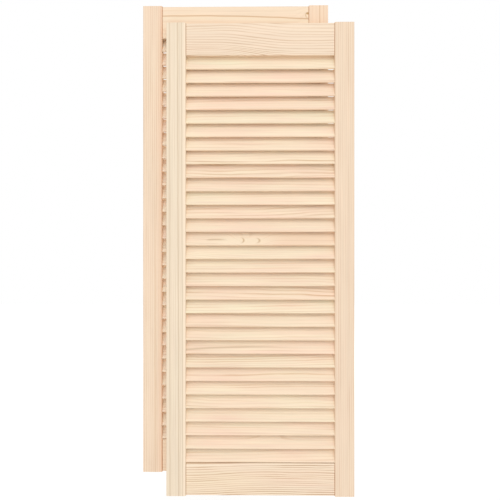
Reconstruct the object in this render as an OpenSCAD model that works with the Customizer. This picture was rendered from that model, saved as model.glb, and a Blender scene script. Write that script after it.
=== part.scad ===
// Pair of louvred cabinet doors: two loose leaves of pine, one lying against the back of the other.
// Each leaf is two stiles, two rails, a row of fixed slanted slats and the dowels of the corner joints.
// Millimetres. X runs along the width, Y from the front face to the back, Z up.
// The origin is the middle of the front leaf's hinge edge, halfway up and halfway through its thickness.

/* [Leaf] */
// Width of one leaf
leaf_w = 394; // [300:1:600]
// Height of one leaf, stile ends included
leaf_h = 993; // [500:1:1400]
// Thickness of the stiles, the thickest pieces of a leaf
leaf_t = 20; // [19:0.5:32]

/* [Frame] */
// Width of each stile
stile_w = 41; // [34:1:70]
// Height of the top rail
top_rail_h = 67.5; // [55:0.5:140]
// Height of the bottom rail
bottom_rail_h = 67.5; // [55:0.5:140]
// How far the rails' faces lie behind the stiles' faces
rail_set_back = 1.5; // [0.5:0.25:2.5]
// How far the stiles' ends stand past the rails
horn = 1.5; // [0.5:0.5:10]
// Rounding of the stiles' inner arrises, beside the rails and slats
inner_arris_r = 3; // [1:0.25:4]
// Rounding of the stiles' outer arrises
outer_arris_r = 1.5; // [0.5:0.25:4]
// Rounding of the rails' long arrises
rail_arris_r = 0.5; // [0.25:0.25:2]
// Rounding of the arrises at the rails' ends, which draws a fine groove along each joint
rail_end_r = 1.8; // [0.2:0.1:3]

/* [Slats] */
// Spacing aimed for from slat to slat, adjusted so that a whole number fills the opening
slat_spacing = 28.5; // [24:0.1:40]
// Thickness of a slat
slat_t = 4.5; // [4:0.25:7]
// Rounding of the slats' long edges
slat_edge_r = 0.8; // [0.5:0.1:1.8]
// How far the foot of each slat hangs below the head of the next one
slat_lap = 1.4; // [0:0.2:8]
// Wood left in the stile before and behind a slat's mortise
slat_cover = 2; // [1.5:0.25:4]
// How deep the slats' ends sit in the stiles
slat_seat = 9; // [5:0.5:14]
// Room around a slat in its mortise
mortise_play = 0.15; // [0.05:0.05:0.3]
// Room between a slat and the rail next to it
rail_play = 0.15; // [0.1:0.05:0.5]

/* [Dowels] */
// Diameter of the dowels in the corner joints
dowel_d = 8; // [6:0.5:10]
// Length of a dowel
dowel_len = 40; // [24:1:50]
// Distance from a dowel's axis to the nearer edge of its rail
dowel_edge = 17; // [12:0.5:24]
// Chamfer on a dowel's ends
dowel_chamfer = 1; // [0.5:0.25:2]
// Room around a dowel in its hole
dowel_play = 0.05; // [0.02:0.01:0.15]
// Room past a dowel's end in its hole
dowel_end_play = 1; // [0.5:0.25:3]

/* [Pair] */
// How far the rear leaf is shifted towards its own hinge edge
rear_shift = 52.5; // [0:0.5:200]
// How far the rear leaf is set higher than the front one
rear_lift = 43; // [0:0.5:200]

/* [Hidden] */
$fn = 48;

pine_stile = "#F1DCC0";
pine_rail = "#F5DEC3";
pine_slat = "#F8E0C5";
beech_dowel = "#D9B78C";

opening_w = leaf_w - 2 * stile_w;
rail_t = leaf_t - 2 * rail_set_back;
leaf_bottom = -leaf_h / 2;
leaf_top = leaf_h / 2;
opening_bottom = leaf_bottom + horn + bottom_rail_h;
opening_top = leaf_top - horn - top_rail_h;
opening_h = opening_top - opening_bottom;

slat_count = round(opening_h / slat_spacing);
slat_pitch = opening_h / slat_count;
slat_len = opening_w + 2 * slat_seat;

// A slat's section is a core rectangle with a round of slat_edge_r about it.
// Leaning, the core spans core_depth in Y and core_rise in Z.
// The slope that makes it do so is found by repeating slope_step.
core_depth = leaf_t - 2 * slat_cover - 2 * slat_edge_r;
core_rise = slat_pitch + slat_lap - 2 * slat_edge_r;
core_t = slat_t - 2 * slat_edge_r;
core_reach = norm([core_depth, core_rise]);
core_aim = atan2(core_rise, core_depth);
function slope_step(slope) = core_aim - asin(core_t / core_reach * cos(2 * slope));
slat_slope = slope_step(slope_step(slope_step(slope_step(slope_step(core_aim)))));
core_w = (core_depth - core_t * sin(slat_slope)) / cos(slat_slope);

// Height of a slat's middle, numbered from 1 at the top
function slat_z(number) =
    opening_bottom + rail_play + (slat_count - number) * slat_pitch + (slat_pitch + slat_lap) / 2;

// Shifted by more than a stile's width, the stiles of each leaf lie against the rails of the other
rear_step = rear_shift > stile_w ? leaf_t - rail_set_back : leaf_t;

dowel_hole_d = dowel_d + 2 * dowel_play;
dowel_hole_depth = dowel_len / 2 + dowel_end_play;

// Heights of the dowels in the top and the bottom joints
dowel_heights = [
    leaf_top - horn - dowel_edge,
    opening_top + dowel_edge,
    opening_bottom - dowel_edge,
    leaf_bottom + horn + dowel_edge
];

function two_digits(number) = number < 10 ? str("0", number) : str(number);
function slat_name(number) = str("front_slat_", two_digits(number));

// Rectangle whose corners at low x have rounding r_low, and at high x r_high, from x = 0, centred in y
module eased_rectangle(w, t, r_low, r_high) {
    polygon([
        [r_low, -t / 2],
        [w - r_high, -t / 2],
        [w, -t / 2 + r_high],
        [w, t / 2 - r_high],
        [w - r_high, t / 2],
        [r_low, t / 2],
        [0, t / 2 - r_low],
        [0, -t / 2 + r_low]
    ]);
    for (side = [-1, 1]) {
        translate([r_low, side * (t / 2 - r_low)]) circle(r_low);
        translate([w - r_high, side * (t / 2 - r_high)]) circle(r_high);
    }
}

// Section of a slat, or of its mortise with play added all round, leaning about its own middle
module slat_section(play) {
    round_r = slat_edge_r + play;
    rotate(slat_slope)
        translate([-core_w / 2 - round_r, 0])
            eased_rectangle(core_w + 2 * round_r, core_t + 2 * round_r, round_r, round_r);
}

// Stretches a section drawn in Y and Z along X, centred on x = 0
module along_width(length) {
    rotate([90, 0, 90]) linear_extrude(length, center = true) children();
}

// Upright with its inner edge at x = 0 and its wood on the low x side
module stile() {
    difference() {
        translate([-stile_w, 0, leaf_bottom])
            linear_extrude(leaf_h) eased_rectangle(stile_w, leaf_t, outer_arris_r, inner_arris_r);
        for (number = [1:slat_count])
            translate([0, 0, slat_z(number)])
                along_width(2 * (slat_seat + mortise_play)) slat_section(mortise_play);
        for (height = dowel_heights)
            translate([0, 0, height])
                along_width(2 * dowel_hole_depth) circle(d = dowel_hole_d);
    }
}

module left_stile() {
    color(pine_stile) translate([-opening_w / 2, 0, 0]) stile();
}

module right_stile() {
    color(pine_stile) mirror([1, 0, 0]) translate([-opening_w / 2, 0, 0]) stile();
}

// Rail from its lower edge up, with dowel holes in both ends at the given heights over that edge
module rail(height, holes) {
    difference() {
        intersection() {
            along_width(opening_w)
                rotate(90) eased_rectangle(height, rail_t, rail_arris_r, rail_arris_r);
            translate([-opening_w / 2, 0, 0])
                linear_extrude(height) eased_rectangle(opening_w, rail_t, rail_end_r, rail_end_r);
        }
        for (end = [-1, 1], hole = holes)
            translate([end * opening_w / 2, 0, hole])
                along_width(2 * dowel_hole_depth) circle(d = dowel_hole_d);
    }
}

// The lower back edge slopes as the slats do, clear of the uppermost one
module top_rail() {
    bevel_reach = leaf_t + top_rail_h;
    color(pine_rail) difference() {
        translate([0, 0, opening_top]) rail(top_rail_h, [dowel_edge, top_rail_h - dowel_edge]);
        along_width(leaf_w)
            translate([0, slat_z(1)])
                rotate(slat_slope)
                    translate([-bevel_reach, slat_t / 2 + rail_play - bevel_reach])
                        square([2 * bevel_reach, bevel_reach]);
    }
}

module bottom_rail() {
    color(pine_rail)
        translate([0, 0, opening_bottom - bottom_rail_h])
            rail(bottom_rail_h, [dowel_edge, bottom_rail_h - dowel_edge]);
}

module slat(number) {
    color(pine_slat) translate([0, 0, slat_z(number)]) along_width(slat_len) slat_section(0);
}

module slats() {
    for (number = [1:slat_count]) slat(number);
}

// Dowel centred on the joint, with chamfered ends
module dowel() {
    dowel_r = dowel_d / 2;
    half = dowel_len / 2;
    rotate([0, 90, 0])
        rotate_extrude()
            polygon([
                [0, -half],
                [dowel_r - dowel_chamfer, -half],
                [dowel_r, -half + dowel_chamfer],
                [dowel_r, half - dowel_chamfer],
                [dowel_r - dowel_chamfer, half],
                [0, half]
            ]);
}

module dowels() {
    color(beech_dowel)
        for (end = [-1, 1], height = dowel_heights)
            translate([end * opening_w / 2, 0, height]) dowel();
}

// The front leaf hangs by its right edge, which is the origin's
module front_leaf() {
    translate([-leaf_w / 2, 0, 0]) children();
}

// The rear leaf lies against the front one's back, further left and higher
module rear_leaf() {
    translate([-leaf_w / 2 - rear_shift, rear_step, rear_lift]) children();
}

front_leaf() left_stile();  // front_left_stile
front_leaf() right_stile();  // front_right_stile
front_leaf() top_rail();  // front_top_rail
front_leaf() bottom_rail();  // front_bottom_rail
front_leaf() dowels();  // front_dowels
for (number = [1:slat_count])
    front_leaf() slat(number);
rear_leaf() left_stile();  // rear_left_stile
rear_leaf() right_stile();  // rear_right_stile
rear_leaf() top_rail();  // rear_top_rail
rear_leaf() bottom_rail();  // rear_bottom_rail
rear_leaf() dowels();  // rear_dowels
rear_leaf() slats();  // rear_slats
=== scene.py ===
"""A pair of unfinished pine louvred cabinet doors, one lying against the back of the other.

Every board keeps its modelled shape and gets its own cut of pine: growth rings round a heart line,
fibres, knots, streaks and end grain, worked out in the board's own directions. Lengths are in metres.
"""
import math
import random
from collections import namedtuple

import bpy
from mathutils import Matrix, Vector


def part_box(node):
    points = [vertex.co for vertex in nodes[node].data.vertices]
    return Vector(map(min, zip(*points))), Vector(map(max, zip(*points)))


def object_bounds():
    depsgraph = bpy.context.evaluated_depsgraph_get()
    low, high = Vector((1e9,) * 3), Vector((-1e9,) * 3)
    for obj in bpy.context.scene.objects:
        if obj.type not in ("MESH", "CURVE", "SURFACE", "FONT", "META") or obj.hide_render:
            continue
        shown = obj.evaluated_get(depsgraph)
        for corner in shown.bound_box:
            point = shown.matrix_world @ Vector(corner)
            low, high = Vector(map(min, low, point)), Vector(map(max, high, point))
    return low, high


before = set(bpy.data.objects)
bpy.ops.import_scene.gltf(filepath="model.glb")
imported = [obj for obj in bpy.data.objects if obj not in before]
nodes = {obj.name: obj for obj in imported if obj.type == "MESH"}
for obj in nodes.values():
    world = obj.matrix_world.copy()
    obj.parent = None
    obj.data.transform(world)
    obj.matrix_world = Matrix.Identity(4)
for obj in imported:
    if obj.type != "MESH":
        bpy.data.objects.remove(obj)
cad_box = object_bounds()
scene = bpy.context.scene
scene.view_settings.view_transform = "Standard"

# Camera: pixels of the front leaf's edges in the photograph, and how the camera stands
IMAGE_PX = 500
LEAF_LEFT_PX, LEAF_RIGHT_PX = 166.1, 354.3
LEAF_TOP_PX, LEAF_BOTTOM_PX = 21.8, 496.8
SENSOR_MM = 36.0
CAMERA_DISTANCE = 1.15
CAMERA_YAW = math.radians(0.6)
CAMERA_CLIP = 0.01

# Light: the lamps' places are counted from the middle of the pair
WHITE = (1.0, 1.0, 1.0, 1.0)
WORLD_STRENGTH = 0.85
KEY_PLACE = Vector((0.8, -3.9, 3.9))
KEY_SIZE = 2.8
KEY_POWER = 59.0
BACK_PLACE = Vector((-1.0, 2.6, 2.0))
BACK_SIZE = 1.8
BACK_POWER = 30.0

# Floor: how far it lies below the pair, and how much it glows where it is seen, near its middle and far out
FLOOR_DROP = 0.30
FLOOR_SIZE = 14.0
FLOOR_COLOUR = (0.93, 0.93, 0.93, 1.0)
GLOW_NEAR, GLOW_FAR = 0.04, 0.27
GLOW_START, GLOW_END = 0.8, 3.5

# Patterns in pine: how many to the metre along the fibres, across the face and through the board.
# The steps of seed keep the patterns of one board from following one another.
SLOW_WAVER = (3.0, 14.0, 14.0)
QUICK_WAVER = (14.0, 70.0, 70.0)
FIBRES = (22.0, 900.0, 900.0)
BANDS = (9.0, 260.0, 260.0)
PATCHES = (5.0, 22.0, 22.0)
FADES = (9.0, 70.0, 70.0)
BLUSHES = (7.0, 30.0, 30.0)
FLAMES = (10.0, 170.0, 170.0)
STREAK_WAVERS = (20.0, 0.0, 0.0)
BLUSH_SEED, FLAME_SEED, FADE_SEED = 3.0, 5.0, 7.0
STREAK_SEED = 1000.0

# Growth rings: the reach of the waver and the share of the quick one, the runs of wide years to the ring
# and how far they shift the lines, and the parts of a ring where its line is full and where it breaks off
WAVER_REACH = 2.0
QUICK_SHARE = 0.22
YEAR_RUNS = (0.35, 0.0, 0.0)
YEAR_SHIFT = 1.6
LINE_FULL, LINE_STOP = 0.90, 0.93

# Faint lines: how much the faintest year lacks, how far the years differ and how common faint ones are,
# and how much of a line is left where it fades along the board
FAINTEST = 0.9
FAINT_RANGE = 1.2
FAINT_CURVE = 1.6
FADE_FROM, FADE_TO = -0.22, 0.16
FADED, UNFADED = 0.3, 1.15

# Tone: how much fibres, bands and patches darken, how much of the blush lies in fine flames,
# and how much green and blue a blush takes away
FIBRE_TONE = 0.10
BAND_TONE = 0.16
PATCH_TONE = 0.09
FLAME_SHARE = 0.7
BLUSH_GREEN = 0.07
BLUSH_BLUE = 0.05

# Knots, counted from 0 in the middle to 1 at the rim: how far off they push the rings, and by how many
# half widths, where the colour begins to fade, and where a pale middle ends
SWELL_REACH = 4.0
SWELL_HEIGHT = 2.0
KNOT_CORE = 0.5
HOLLOW_CORE, HOLLOW_RIM = 0.7, 1.1

# Streaks: how much they waver, and the shares of their run over which they come and go
STREAK_WAVER = 0.0020
COMES_FROM, COMES_TO = -0.15, 0.1
GOES_FROM = 0.5

# Finish of the bare wood
ROUGHNESS = 0.62
SPECULAR = 0.25
BUMP_STRENGTH = 0.12
BUMP_HEIGHT = 0.0006
LINE_HEIGHT = 0.5

# Narrow sides of the frames' boards, painted darker as shade for the stiles' rounded inner arrises beside
# the slats, and end grain: how dark they are, and how far a surface must turn towards them before it begins
# to count as one, and then wholly does
PAINTED_SIDE_SHADE_DEPTH = 0.35
SIDE_FROM, SIDE_TO = 0.2, 0.9
END_DEPTH = 0.55
END_FROM, END_TO = 0.25, 0.85


def srgb(red, green, blue):
    """A colour given as 0 to 255 display values, in the linear values that shaders take."""
    def linear(value):
        value /= 255.0
        return value / 12.92 if value <= 0.04045 else ((value + 0.055) / 1.055) ** 2.4
    return (linear(red), linear(green), linear(blue), 1.0)


# Painted shade for the narrow sides, the colour of end grain, a painted highlight for an arris, and the
# wood in knots and streaks
PAINTED_SIDE_SHADE = srgb(230, 216, 202)
END_SHADE = srgb(206, 160, 116)
KNOT_BROWN = srgb(196, 156, 102)
RESIN_BROWN = srgb(206, 164, 118)
GREY_BROWN = srgb(202, 176, 144)
HEART_PINK = srgb(238, 184, 148)
# Painted highlight: a pale strip along the front left stile's rounded inner arris, where the light catches
# it
PAINTED_ARRIS_HIGHLIGHT = srgb(255, 234, 208)
STRAW = srgb(246, 226, 182)

# Pale wood of the slats, and the lines in it
YELLOW = srgb(249, 231, 202)
CREAM = srgb(250, 229, 201)
PEACH = srgb(250, 226, 199)
IVORY = srgb(251, 232, 209)
SLAT_LATE = srgb(220, 184, 146)


class Tree:
    """Short words for adding and joining shader nodes."""

    def __init__(self, tree):
        self.tree = tree

    def add(self, kind, inputs=None, **settings):
        made = self.tree.nodes.new("ShaderNode" + kind)
        for name, value in settings.items():
            setattr(made, name, value)
        for name, value in (inputs or {}).items():
            self.feed(made.inputs[name], value)
        return made

    def feed(self, socket, value):
        if isinstance(value, bpy.types.NodeSocket):
            self.tree.links.new(value, socket)
        else:
            socket.default_value = value

    def math(self, operation, *values, clamp=False):
        made = self.add("Math", operation=operation, use_clamp=clamp)
        for socket, value in zip(made.inputs, values):
            self.feed(socket, value)
        return made.outputs[0]

    def vector(self, operation, *values):
        made = self.add("VectorMath", operation=operation)
        for socket, value in zip(made.inputs, values):
            self.feed(socket, value)
        return made.outputs[0]

    def length(self, vector):
        return self.add("VectorMath", {0: vector}, operation="LENGTH").outputs["Value"]

    def split(self, vector):
        return self.add("SeparateXYZ", {"Vector": vector}).outputs

    def join(self, x, y=0.0, z=0.0):
        return self.add("CombineXYZ", {"X": x, "Y": y, "Z": z}).outputs[0]

    def step(self, value, low, high, to_low=0.0, to_high=1.0):
        """Smooth change from to_low to to_high while value goes from low to high."""
        made = self.add("MapRange", {"Value": value, "From Min": low, "From Max": high,
                                     "To Min": to_low, "To Max": to_high},
                        interpolation_type="SMOOTHSTEP")
        return made.outputs["Result"]

    def noise(self, place, pattern, seed, detail=1.0, roughness=0.5):
        """Noise about 0, from about -0.5 to 0.5, as closely packed as the pattern says."""
        made = self.add("TexNoise", {"Vector": self.vector("MULTIPLY", place, pattern), "W": seed,
                                     "Scale": 1.0, "Detail": detail, "Roughness": roughness},
                        noise_dimensions="4D")
        return self.math("SUBTRACT", made.outputs["Fac"], 0.5)

    def mix(self, factor, first, second, blend="MIX"):
        """Two colours mixed. A Mix node has its colours at inputs 6 and 7, and at output 2."""
        made = self.add("Mix", data_type="RGBA", blend_type=blend)
        self.feed(made.inputs["Factor"], factor)
        self.feed(made.inputs[6], first)
        self.feed(made.inputs[7], second)
        return made.outputs[2]


def ring_lines(t, given):
    """How dark a ring is: 0 in its pale early wood, and about 1 in the line that ends it."""
    board, seed = given["Board"], given["Seed"]
    place = t.split(board)
    heart = t.split(given["Heart"])
    sweep = t.split(given["Sweep"])

    # Rings run round the heart line, which leans, swings and wavers along the trunk
    tilt = t.math("MULTIPLY", place["X"], heart["X"])
    tilt = t.math("ADD", tilt, t.step(place["X"], sweep["X"], sweep["Y"], 0.0, sweep["Z"]))
    off_y = t.math("ADD", t.math("SUBTRACT", place["Y"], heart["Y"]), tilt)
    off_z = t.math("SUBTRACT", place["Z"], heart["Z"])
    squares = t.math("ADD", t.math("MULTIPLY", off_y, off_y), t.math("MULTIPLY", off_z, off_z))
    slow = t.noise(board, SLOW_WAVER, seed)
    quick = t.noise(board, QUICK_WAVER, seed, detail=2.0)
    waver = t.math("MULTIPLY", t.math("MULTIPLY_ADD", quick, QUICK_SHARE, slow), given["Waver"])
    reach = t.math("ADD", t.math("SQRT", squares), t.math("MULTIPLY", waver, WAVER_REACH))
    reach = t.math("ADD", reach, given["Swell"])

    # Years are counted outwards, and some are wider than others
    years = t.math("DIVIDE", reach, given["Ring"])
    shift = t.noise(t.join(years), YEAR_RUNS, seed)
    years = t.math("MULTIPLY_ADD", shift, YEAR_SHIFT, years)
    part = t.math("FRACT", years)
    year = t.math("FLOOR", years)
    rise = t.step(part, given["Early"], LINE_FULL)
    line = t.math("MULTIPLY", rise, t.step(part, LINE_STOP, 1.0, 1.0, 0.0))

    # Each year's line has a strength of its own
    chance = t.add("TexWhiteNoise", {"Vector": t.join(year, seed)}, noise_dimensions="2D").outputs["Value"]
    lack = t.math("MULTIPLY_ADD", t.math("POWER", chance, FAINT_CURVE), -FAINT_RANGE, FAINTEST)
    return t.math("MULTIPLY", line, t.math("SUBTRACT", 1.0, t.math("MULTIPLY", lack, given["Uneven"])))


def wood_tint(t, given, fibre):
    """What the colour is multiplied by: darker fibres, bands and patches, and redder blushes and flames."""
    board, seed = given["Board"], given["Seed"]
    band = t.noise(board, BANDS, seed, detail=2.0)
    patch = t.noise(board, PATCHES, seed)
    tone = t.math("MULTIPLY_ADD", fibre, FIBRE_TONE, 1.0)
    tone = t.math("MULTIPLY_ADD", band, BAND_TONE, tone)
    tone = t.math("MULTIPLY_ADD", patch, PATCH_TONE, tone)
    blush = t.noise(board, BLUSHES, t.math("ADD", seed, BLUSH_SEED))
    flame = t.noise(board, FLAMES, t.math("ADD", seed, FLAME_SEED))
    blush = t.math("MULTIPLY", t.math("MULTIPLY_ADD", flame, FLAME_SHARE, blush), given["Blush"])
    green = t.math("MULTIPLY", tone, t.math("MULTIPLY_ADD", blush, -BLUSH_GREEN, 1.0))
    blue = t.math("MULTIPLY", tone, t.math("MULTIPLY_ADD", blush, -BLUSH_BLUE, 1.0))
    return t.join(tone, green, blue)


def make_pine_grain():
    """Shared group: pine cut as a board lies in the log.

    Board is the place in the board: X along the fibres, Y across the face, Z through it.
    Facing is the surface's direction in the same axes, and Seed gives the board patterns of its own.
    Heart gives the heart line: its tilt along X, and its place in Y and Z.
    Ring is the width of a ring, and Waver is how far the rings waver.
    Sweep swings the lines sideways: where along X it begins and ends, and by how much.
    Early is the share of a ring that is pale, and Pale and Late are the colours of the two parts.
    Lines is the strength of the lines, and Uneven makes some of them fainter than others.
    Blush is how much redder some of the wood is.
    Edge is how much darker the narrow sides are painted, as painted shade for the rounded inner arrises
    beside the slats, and Swell pushes the rings out round a knot.
    """
    group = bpy.data.node_groups.new("pine_grain", "ShaderNodeTree")

    def socket(name, kind, default=None, way="INPUT"):
        made = group.interface.new_socket(name, in_out=way, socket_type="NodeSocket" + kind)
        if default is not None:
            made.default_value = default

    socket("Board", "Vector")
    socket("Facing", "Vector")
    socket("Seed", "Float")
    socket("Heart", "Vector")
    socket("Ring", "Float")
    socket("Waver", "Float")
    socket("Sweep", "Vector", (0.0, 1.0, 0.0))
    socket("Early", "Float", 0.35)
    socket("Lines", "Float")
    socket("Uneven", "Float", 0.9)
    socket("Blush", "Float", 0.5)
    socket("PaintedSideShade", "Float", 0.0)
    socket("Pale", "Color")
    socket("Late", "Color")
    socket("Swell", "Float")
    socket("Color", "Color", way="OUTPUT")
    socket("Height", "Float", way="OUTPUT")

    t = Tree(group)
    given = group.nodes.new("NodeGroupInput").outputs
    line = ring_lines(t, given)
    fibre = t.noise(given["Board"], FIBRES, given["Seed"], detail=3.0, roughness=0.6)

    # The lines fade and come back along the board
    fade = t.noise(given["Board"], FADES, t.math("ADD", given["Seed"], FADE_SEED))
    shown = t.math("MULTIPLY", line, t.step(fade, FADE_FROM, FADE_TO, FADED, UNFADED))
    shown = t.math("MULTIPLY", shown, given["Lines"], clamp=True)
    colour = t.mix(shown, given["Pale"], given["Late"])
    colour = t.mix(1.0, colour, wood_tint(t, given, fibre), "MULTIPLY")

    # The narrow sides are painted darker, as shade for the stiles' rounded inner arrises beside the slats;
    # end grain is darker too, and begins where a rounding cuts across the fibres
    facing = t.split(given["Facing"])
    side_shade_mask = t.step(t.math("ABSOLUTE", facing["Y"]), SIDE_FROM, SIDE_TO)
    colour = t.mix(t.math("MULTIPLY", side_shade_mask, given["PaintedSideShade"]), colour, PAINTED_SIDE_SHADE, "MULTIPLY")
    end = t.step(t.math("ABSOLUTE", facing["X"]), END_FROM, END_TO)
    colour = t.mix(t.math("MULTIPLY", end, END_DEPTH), colour, END_SHADE, "MULTIPLY")

    height = t.math("ADD", t.math("MULTIPLY", line, LINE_HEIGHT), fibre)
    out = group.nodes.new("NodeGroupOutput")
    group.links.new(colour, out.inputs["Color"])
    group.links.new(height, out.inputs["Height"])
    return group


PINE_GRAIN = make_pine_grain()

# A knot: its place along and across the board, half its length and width, its depth of colour, and how far
# along the board a pale middle lies, which leaves only a crescent, or 0 for a whole knot.
# One without colour lay past the board's edge and was sawn away: it has only swung the lines beside it.
Knot = namedtuple("Knot", "at half depth hollow", defaults=(0.0, 0.0))

# A line of other wood, and in one place a painted highlight: where along the board it starts and ends, its
# places across the board at the start, halfway and at the end, half its width, its depth of colour, and its
# wood (for the highlight, a painted pale colour)
Streak = namedtuple("Streak", "run across half_width depth wood")


def from_knot(t, board, knot, shift=0.0):
    """Distance from a knot's middle, or from a place shifted along the board, as 1 at the rim."""
    along, across = knot.at
    half_length, half_width = knot.half
    away = t.vector("SUBTRACT", board, (along + shift, across, 0.0))
    return t.length(t.vector("MULTIPLY", away, (1 / half_length, 1 / half_width, 0.0)))


def with_knots(t, board, colour, knots):
    """The colour with its knots, and how far they push the rings out."""
    swell = 0.0
    for knot in knots:
        away = from_knot(t, board, knot)
        swell = t.math("ADD", swell, t.step(away, 0.0, SWELL_REACH, SWELL_HEIGHT * knot.half[1], 0.0))
        stain = t.step(away, KNOT_CORE, 1.0, knot.depth, 0.0)
        if knot.hollow:
            pale = from_knot(t, board, knot, knot.hollow)
            stain = t.math("MULTIPLY", stain, t.step(pale, HOLLOW_CORE, HOLLOW_RIM))
        colour = t.mix(stain, colour, KNOT_BROWN)
    return colour, swell


def streak_strength(t, board, streak):
    """Strength of a streak, most at its start and gone at its end. It bows through its three places."""
    place = t.split(board)
    start, end = streak.run
    first, half, last = streak.across
    run = t.math("DIVIDE", t.math("SUBTRACT", place["X"], start), end - start)
    bow = 2 * (first + last - 2 * half)
    slope = last - first - bow
    line = t.math("MULTIPLY_ADD", t.math("MULTIPLY_ADD", run, bow, slope), run, first)
    waver = t.noise(board, STREAK_WAVERS, STREAK_SEED * first)
    line = t.math("MULTIPLY_ADD", waver, STREAK_WAVER, line)
    off = t.math("ABSOLUTE", t.math("SUBTRACT", place["Y"], line))
    body = t.step(off, 0.0, streak.half_width, 1.0, 0.0)
    ends = t.math("MULTIPLY", t.step(run, COMES_FROM, COMES_TO), t.step(run, GOES_FROM, 1.0, 1.0, 0.0))
    return t.math("MULTIPLY", body, ends)


def with_streaks(t, board, colour, streaks):
    for streak in streaks:
        strength = t.math("MULTIPLY", streak_strength(t, board, streak), streak.depth)
        colour = t.mix(strength, colour, streak.wood)
    return colour


def pine(name, turn, centre, cut, knots, streaks):
    """Material of one board: turn takes the part's directions to the board's own, cut gives its looks."""
    made = bpy.data.materials.new(name)
    made.use_nodes = True
    made.node_tree.nodes.clear()
    t = Tree(made.node_tree)
    where = t.add("TexCoord").outputs
    angles = turn.to_euler("XYZ")
    board = t.add("Mapping", {"Vector": where["Object"], "Location": -(turn @ centre), "Rotation": angles},
                  vector_type="POINT").outputs[0]
    facing = t.add("Mapping", {"Vector": where["Normal"], "Rotation": angles},
                   vector_type="VECTOR").outputs[0]
    grain = t.add("Group", node_tree=PINE_GRAIN)
    for key, value in dict(cut, Board=board, Facing=facing).items():
        t.feed(grain.inputs[key], value)
    colour = with_streaks(t, board, grain.outputs["Color"], streaks)
    colour, swell = with_knots(t, board, colour, knots)
    t.feed(grain.inputs["Swell"], swell)
    bump = t.add("Bump", {"Height": grain.outputs["Height"], "Strength": BUMP_STRENGTH,
                          "Distance": BUMP_HEIGHT})
    surface = t.add("BsdfPrincipled", {"Base Color": colour, "Roughness": ROUGHNESS,
                                       "Specular IOR Level": SPECULAR, "Normal": bump.outputs[0]})
    t.add("OutputMaterial", {"Surface": surface.outputs[0]})
    return made


# Boards of the two frames: how each was cut
FRAME_CUTS = {
    "front_left_stile": dict(
        Seed=3.1, Heart=(0.004, 0.14, 0.02), Ring=0.0044, Waver=0.0016, Early=0.5, Lines=0.36, Uneven=0.8,
        Pale=srgb(243, 225, 200), Late=srgb(203, 176, 142)),
    "front_right_stile": dict(
        Seed=7.4, Heart=(0.002, -0.20, 0.08), Ring=0.0038, Waver=0.0018, Early=0.5, Lines=0.65, Uneven=0.6,
        Pale=srgb(243, 219, 193), Late=srgb(218, 180, 146)),
    "front_top_rail": dict(
        Seed=11.9, Heart=(0.0, 0.24, -0.24), Ring=0.0038, Waver=0.0050, Early=0.5, Lines=0.95, Uneven=0.5,
        Sweep=(-0.09, 0.08, 0.014), Pale=srgb(246, 224, 199), Late=srgb(210, 174, 138)),
    "front_bottom_rail": dict(
        Seed=13.7, Heart=(0.012, 0.060, -0.035), Ring=0.0038, Waver=0.0070, Early=0.45, Lines=1.1,
        Uneven=0.6, Sweep=(-0.17, 0.03, -0.008), Blush=1.5,
        Pale=srgb(250, 229, 204), Late=srgb(200, 162, 126)),
    "rear_left_stile": dict(
        Seed=21.7, Heart=(0.002, -0.18, 0.06), Ring=0.0042, Waver=0.0020, Early=0.5, Lines=0.75, Uneven=0.7,
        Pale=srgb(246, 222, 196), Late=srgb(214, 174, 138)),
    "rear_right_stile": dict(
        Seed=27.3, Heart=(0.002, 0.16, 0.02), Ring=0.0070, Waver=0.0010, Early=0.5, Lines=0.3,
        Pale=srgb(247, 219, 191), Late=srgb(214, 172, 136)),
    "rear_top_rail": dict(
        Seed=31.8, Heart=(0.0, 0.30, 0.04), Ring=0.0140, Waver=0.0060, Early=0.5, Lines=0.2,
        Pale=srgb(249, 226, 199), Late=srgb(216, 172, 126)),
    "rear_bottom_rail": dict(
        Seed=35.5, Heart=(0.02, 0.05, 0.05), Ring=0.0050, Waver=0.0040, Early=0.45, Lines=0.5,
        Pale=srgb(246, 222, 195), Late=srgb(216, 178, 140)),
}

KNOTS = {
    "front_top_rail": [Knot(at=(-0.110, -0.056), half=(0.040, 0.012))],
    "rear_top_rail": [
        Knot(at=(0.1545, 0.0150), half=(0.0080, 0.0080), depth=0.75, hollow=0.003),
        Knot(at=(0.1540, 0.0186), half=(0.0046, 0.0030), depth=0.95),
    ],
    "front_slat_14": [
        Knot(at=(-0.0400, -0.0052), half=(0.0090, 0.0078), depth=0.80, hollow=-0.004),
        Knot(at=(-0.0080, -0.0058), half=(0.0110, 0.0074), depth=0.70, hollow=-0.005),
    ],
    "front_slat_25": [Knot(at=(0.045, 0.024), half=(0.030, 0.006))],
    "front_slat_29": [Knot(at=(0.024, 0.020), half=(0.022, 0.006))],
}

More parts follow.
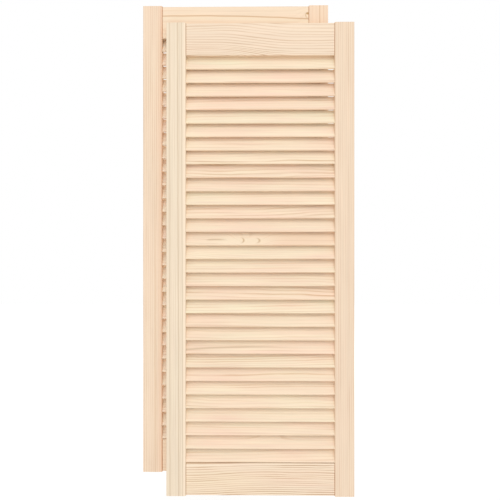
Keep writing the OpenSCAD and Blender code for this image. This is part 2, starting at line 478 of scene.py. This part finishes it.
STREAKS = {
    "front_left_stile": [
        # A painted highlight along the rounded inner arris, laid on as a pale streak
        Streak(run=(-0.80, 2.00), across=(0.0172, 0.0172, 0.0172),
               half_width=0.0032, depth=0.90, wood=PAINTED_ARRIS_HIGHLIGHT),
        Streak(run=(0.70, -1.50), across=(-0.0142, -0.0125, -0.0105),
               half_width=0.0022, depth=0.45, wood=GREY_BROWN),
        Streak(run=(0.70, -1.50), across=(0.0022, 0.0058, 0.0070),
               half_width=0.0020, depth=0.60, wood=GREY_BROWN),
        Streak(run=(0.70, -1.50), across=(0.0105, 0.0140, 0.0160),
               half_width=0.0018, depth=0.45, wood=GREY_BROWN),
    ],
    "rear_top_rail": [
        Streak(run=(-0.190, 0.500), across=(0.0085, 0.0021, -0.0305),
               half_width=0.0060, depth=0.70, wood=YELLOW),
        Streak(run=(-0.190, 0.500), across=(0.0137, 0.0073, -0.0255),
               half_width=0.0021, depth=0.80, wood=RESIN_BROWN),
    ],
    "front_bottom_rail": [
        Streak(run=(-0.190, 0.080), across=(-0.012, -0.012, -0.012),
               half_width=0.0450, depth=0.18, wood=STRAW),
        Streak(run=(0.190, -0.300), across=(0.004, 0.010, 0.010),
               half_width=0.0300, depth=0.12, wood=HEART_PINK),
    ],
    "rear_right_stile": [
        Streak(run=(0.70, -1.50), across=(0.0025, 0.0025, 0.0025),
               half_width=0.0017, depth=0.50, wood=RESIN_BROWN),
    ],
    "rear_left_stile": [
        Streak(run=(-0.80, 2.00), across=(0.0205, 0.0205, 0.0205),
               half_width=0.0140, depth=0.30, wood=HEART_PINK),
        Streak(run=(-0.60, 0.30), across=(0.0055, 0.0052, 0.0050),
               half_width=0.0020, depth=0.40, wood=RESIN_BROWN),
    ],
    "front_slat_14": [
        Streak(run=(0.170, -0.060), across=(0.0, 0.0, 0.0),
               half_width=0.0400, depth=0.25, wood=HEART_PINK),
        Streak(run=(-0.085, 0.060), across=(-0.0060, -0.0060, -0.0060),
               half_width=0.0200, depth=0.80, wood=YELLOW),
        Streak(run=(-0.110, -0.066), across=(-0.0036, -0.0034, -0.0044),
               half_width=0.0034, depth=0.70, wood=GREY_BROWN),
    ],
    "front_slat_22": [
        Streak(run=(-0.190, 0.100), across=(-0.0105, -0.0014, -0.0050),
               half_width=0.0036, depth=0.65, wood=GREY_BROWN),
    ],
}

# Slats sawn from yellower or creamier wood than the peach-coloured rest, and the seed of the slats' cuts
YELLOW_SLATS = (1, 5, 19)
CREAM_SLATS = (8, 11, 15, 16, 23, 26, 27)
SLAT_SEED = 20

DOWEL_CUT = dict(Seed=5.5, Heart=(0.0, 0.0, 0.05), Ring=0.002, Waver=0.001, Lines=0.3,
                 Pale=srgb(226, 192, 150), Late=srgb(196, 156, 112))


def lying(slope):
    """Turn for a board that runs along the width with its face sloping by that angle from the level."""
    return Matrix.Rotation(-slope, 3, "X")


# Turns for a stile, and for a rail or a dowel
UPRIGHT = Matrix(((0, 0, 1), (1, 0, 0), (0, 1, 0)))
LEVEL = lying(math.radians(90))


def middle(node):
    low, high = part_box(node)
    return (low + high) / 2


def slope_of(node):
    """Slope of a slat's broad face from the level."""
    face = max(nodes[node].data.polygons, key=lambda polygon: polygon.area)
    return math.atan2(abs(face.normal.y), abs(face.normal.z))


def dress(node, finish, turn, cut):
    """Gives a node wood of its own, with the knots and streaks that lie in it."""
    made = pine(f"{node}_{finish}", turn, middle(node), cut, KNOTS.get(node, ()), STREAKS.get(node, ()))
    slots = nodes[node].data.materials
    slots.clear()
    slots.append(made)


def dress_frames():
    for node, cut in FRAME_CUTS.items():
        # Frame boards get painted shade on their narrow sides
        dress(node, "pine", UPRIGHT if "stile" in node else LEVEL, dict(cut, PaintedSideShade=PAINTED_SIDE_SHADE_DEPTH))


def slat_wood(node):
    """Pale colour of a front slat by its number, or of the rear slats, which share one node."""
    if node == "rear_slats":
        return IVORY
    number = int(node[-2:])
    if number in YELLOW_SLATS:
        return YELLOW
    return CREAM if number in CREAM_SLATS else PEACH


def dress_slats():
    draw = random.Random(SLAT_SEED)
    for node in sorted(nodes):
        if "slat" in node:
            cut = dict(
                Seed=draw.uniform(40, 900),
                Heart=(draw.uniform(-0.015, 0.015), draw.choice((-1, 1)) * draw.uniform(0.04, 0.14),
                       draw.uniform(0.02, 0.05)),
                Ring=draw.uniform(0.0042, 0.0068),
                Waver=draw.uniform(0.005, 0.014),
                Early=0.45,
                Lines=draw.uniform(0.3, 0.65),
                Blush=2.8,
                Pale=slat_wood(node),
                Late=SLAT_LATE,
            )
            dress(node, "pine", lying(slope_of(node)), cut)


def dress_dowels():
    for node in ("front_dowels", "rear_dowels"):
        dress(node, "wood", LEVEL, DOWEL_CUT)


def is_seen(t):
    """1 where the camera, a gloss or a clear piece sees the surface, and 0 where it only gives light."""
    path = t.add("LightPath").outputs
    mirrored = t.math("MAXIMUM", path["Is Glossy Ray"], path["Is Transmission Ray"])
    return t.math("MAXIMUM", path["Is Camera Ray"], mirrored)


def add_floor(level):
    bpy.ops.mesh.primitive_plane_add(size=FLOOR_SIZE, location=(0, 0, level))
    floor = bpy.context.object
    floor.name = "floor"
    made = bpy.data.materials.new("floor_white")
    made.use_nodes = True
    made.node_tree.nodes.clear()
    t = Tree(made.node_tree)
    paint = t.add("BsdfDiffuse", {"Color": FLOOR_COLOUR})
    away = t.length(t.add("TexCoord").outputs["Object"])
    strength = t.math("MULTIPLY", is_seen(t), t.step(away, GLOW_START, GLOW_END, GLOW_NEAR, GLOW_FAR))
    glow = t.add("Emission", {"Color": WHITE, "Strength": strength})
    both = t.add("AddShader", {0: paint.outputs[0], 1: glow.outputs[0]})
    t.add("OutputMaterial", {"Surface": both.outputs[0]})
    floor.data.materials.append(made)


def add_world():
    """Even white light all round, and a white background wherever it is seen past the object."""
    world = bpy.data.worlds.new("studio")
    scene.world = world
    world.use_nodes = True
    world.node_tree.nodes.clear()
    t = Tree(world.node_tree)
    strength = t.math("MULTIPLY_ADD", is_seen(t), 1.0 - WORLD_STRENGTH, WORLD_STRENGTH)
    shine = t.add("Background", {"Color": WHITE, "Strength": strength})
    t.add("OutputWorld", {"Surface": shine.outputs[0]})


def add_softbox(name, place, target, size, power):
    lamp = bpy.data.lights.new(name, "AREA")
    lamp.shape = "SQUARE"
    lamp.size = size
    lamp.energy = power
    holder = bpy.data.objects.new(name, lamp)
    scene.collection.objects.link(holder)
    holder.location = place
    holder.rotation_euler = (target - place).to_track_quat("-Z", "Y").to_euler()


def add_camera():
    """Places the front leaf's edges on their pixels in the photograph."""
    low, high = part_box("front_left_stile")
    left, front, bottom, top = low.x, low.y, low.z, high.z
    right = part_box("front_right_stile")[1].x
    px_per_m = (LEAF_RIGHT_PX - LEAF_LEFT_PX) / (right - left)
    middle_px = IMAGE_PX / 2
    camera = bpy.data.cameras.new("camera")
    camera.sensor_width = SENSOR_MM
    camera.lens = px_per_m * CAMERA_DISTANCE * SENSOR_MM / IMAGE_PX
    camera.clip_start = CAMERA_CLIP
    holder = bpy.data.objects.new("camera", camera)
    scene.collection.objects.link(holder)
    across = left + (middle_px - LEAF_LEFT_PX) / px_per_m
    up = (top + bottom) / 2 + ((LEAF_TOP_PX + LEAF_BOTTOM_PX) / 2 - middle_px) / px_per_m
    aim = Vector((across, front, up))
    holder.location = aim + Matrix.Rotation(CAMERA_YAW, 3, "Z") @ Vector((0, -CAMERA_DISTANCE, 0))
    holder.rotation_euler = (math.radians(90), 0, CAMERA_YAW)
    scene.camera = holder


dress_frames()
dress_slats()
dress_dowels()

low, high = cad_box
centre = (Vector(low) + Vector(high)) / 2
add_floor(low[2] - FLOOR_DROP)
add_world()
add_softbox("key", centre + KEY_PLACE, centre, KEY_SIZE, KEY_POWER)
add_softbox("back", centre + BACK_PLACE, centre, BACK_SIZE, BACK_POWER)
add_camera()
